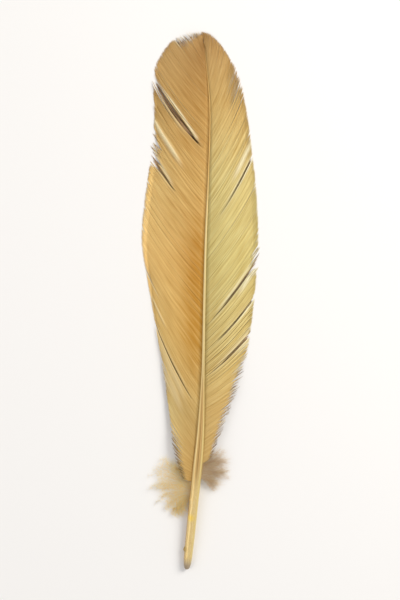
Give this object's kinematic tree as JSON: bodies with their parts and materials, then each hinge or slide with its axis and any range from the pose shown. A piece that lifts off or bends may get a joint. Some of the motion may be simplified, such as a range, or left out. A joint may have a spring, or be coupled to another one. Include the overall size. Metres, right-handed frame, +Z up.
{
  "type": "goose quill feather",
  "caption": "Loose craft feather: a curved tapering quill and shaft with a vane of clinging barbs on each side and a tuft of down at the base, finished in gold paint.",
  "frame": {"origin": "middle of the feather's outline, on the surface that it lies on", "axes": "+Y towards the feather's tip, the quill's open end at -Y, +Z up from the surface out of the smooth side, +X towards the narrower right vane"},
  "size_m": [0.0394, 0.18, 0.0067],
  "materials": {
    "painted_quill": "satin gold paint over horn-like keratin",
    "painted_vane": "matt gold paint over grey-brown barbs",
    "down": "fluffy, thinly dusted with gold paint"
  },
  "bodies": {
    "root": {"quill_shaft": "painted_quill", "left_vane": "painted_vane", "right_vane": "painted_vane", "left_down_tuft": "down", "right_down_tuft": "down"}
  },
  "joints": []
}
